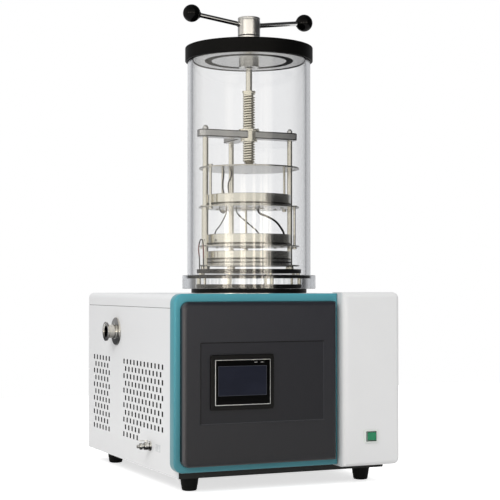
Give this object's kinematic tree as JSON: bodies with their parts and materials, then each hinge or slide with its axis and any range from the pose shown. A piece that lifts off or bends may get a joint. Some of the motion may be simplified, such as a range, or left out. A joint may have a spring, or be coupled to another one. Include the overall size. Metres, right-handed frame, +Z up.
{
  "type": "freeze dryer",
  "caption": "Benchtop laboratory freeze dryer: vented cabinet with touch-screen fascia, clear drying drum, heated tray rack and screw press turned by a T-handle on the lid.",
  "frame": {"origin": "on the floor under the centre of the machine's bounding box", "axes": "+X to the right seen from the front, +Y from the fascia to the back, +Z up"},
  "size_m": [0.47, 0.6118, 0.9398],
  "materials": {
    "white_sheet": "satin powder coat",
    "black_sheet": "fine texture powder coat",
    "foot_rubber": "matte",
    "teal_frame": "satin",
    "dark_panel": "satin",
    "white_column": "satin",
    "overlay": "matte film",
    "bezel_black": "gloss",
    "screen": "glossy display",
    "switch_white": "satin",
    "switch_green": "translucent satin",
    "plated": "polished",
    "stainless": "brushed",
    "screw_steel": "turned",
    "tray_steel": "bright",
    "shelf_steel": "brushed",
    "black_plastic": "satin",
    "acrylic": "clear polished",
    "lid_metal": "fine turned, anodised",
    "knob_black": "polished",
    "lead_sheath": "satin sheath",
    "compressor_black": "gloss enamel",
    "fins": "mill finish",
    "copper": "drawn copper",
    "fan_black": "moulded",
    "board_green": "laminate",
    "foam": "open foam"
  },
  "bodies": {
    "machine": {"side_panel_left": "white_sheet", "side_panel_right": "white_sheet", "top_cover": "white_sheet", "rear_panel": "white_sheet", "front_bulkhead": "white_sheet", "base_tray": "black_sheet", "rubber_feet": "foot_rubber", "fascia_frame": "teal_frame", "fascia_panel": "dark_panel", "fascia_column": "white_column", "control_overlay": "overlay", "screen_bezel": "bezel_black", "screen_module": "screen", "switch_housing": "switch_white", "vacuum_port": "plated", "drain_valve_body": "plated", "trap_pot": "stainless", "vacuum_pipe": "stainless", "columns": "stainless", "column_cap_nuts": "stainless", "crosshead": "stainless", "press_nut": "stainless", "gland_body": "stainless", "gland_nut": "stainless", "tray_lower": "tray_steel", "shelf_lower": "shelf_steel", "seat_ring": "black_plastic", "rack_base": "black_plastic", "lid_rim": "black_plastic", "drum_tube": "acrylic", "drum_flange": "acrylic", "lid_plate": "lid_metal", "lead_base": "lead_sheath", "compressor": "compressor_black", "condenser": "fins", "evaporator_coil": "copper", "refrigerant_lines": "copper", "fan_frame": "fan_black", "power_inlet": "fan_black", "pump_outlet": "fan_black", "control_board": "board_green", "trap_insulation": "foam"},
    "handle": {"handle_hub": "stainless", "handle_arms": "plated", "ball_knobs": "knob_black", "drive_shaft": "stainless"},
    "press": {"press_plate": "shelf_steel", "thrust_bearing": "screw_steel", "leads_upper": "lead_sheath"},
    "screw": {"lead_screw": "screw_steel"},
    "upper_shelf": {"shelf_upper": "shelf_steel", "tray_upper": "tray_steel", "upper_hangers": "shelf_steel", "leads_middle": "lead_sheath"},
    "middle_shelf": {"shelf_middle": "shelf_steel", "tray_middle": "tray_steel", "middle_hangers": "shelf_steel"},
    "rocker": {"switch_rocker": "switch_green"},
    "drain_lever": {"drain_valve_lever": "plated"},
    "fan": {"fan_blades": "fan_black"}
  },
  "joints": [
    {"name": "handle_turn", "type": "hinge", "parent": "machine", "child": "handle", "pos_m": [0.007, -0.0911, 0.9059], "axis": [0, 0, 1], "range_deg": [-576, 2736]},
    {"name": "press_slide", "type": "slide", "parent": "machine", "child": "press", "axis": [0, 0, 1], "range_m": [-0.0081, 0.0381]},
    {"name": "screw_turn", "type": "hinge", "parent": "press", "child": "screw", "pos_m": [0.007, -0.0911, 0.6262], "axis": [0, 0, 1], "range_deg": [-577, 2737]},
    {"name": "upper_shelf_lift", "type": "slide", "parent": "press", "child": "upper_shelf", "axis": [0, 0, 1], "range_m": [0, 0.05], "deforming": ["leads_upper"]},
    {"name": "middle_shelf_lift", "type": "slide", "parent": "upper_shelf", "child": "middle_shelf", "axis": [0, 0, 1], "range_m": [0, 0.045], "deforming": ["leads_middle"]},
    {"name": "rocker_tilt", "type": "hinge", "parent": "machine", "child": "rocker", "pos_m": [0.1693, -0.3003, 0.0925], "axis": [0, 0, 1], "range_deg": [0, 17]},
    {"name": "drain_lever_turn", "type": "hinge", "parent": "machine", "child": "drain_lever", "pos_m": [-0.2165, -0.1051, 0.0785], "axis": [0, 0, 1], "range_deg": [0, 90]},
    {"name": "fan_spin", "type": "hinge", "parent": "machine", "child": "fan", "pos_m": [0.105, 0.2784, 0.161], "axis": [0, 1, 0], "continuous": true}
  ],
  "couplings": [
    {"joint": "press_slide", "follows": "handle_turn", "m_per_rad": 0.00079577},
    {"joint": "screw_turn", "follows": "handle_turn", "ratio": 1}
  ]
}
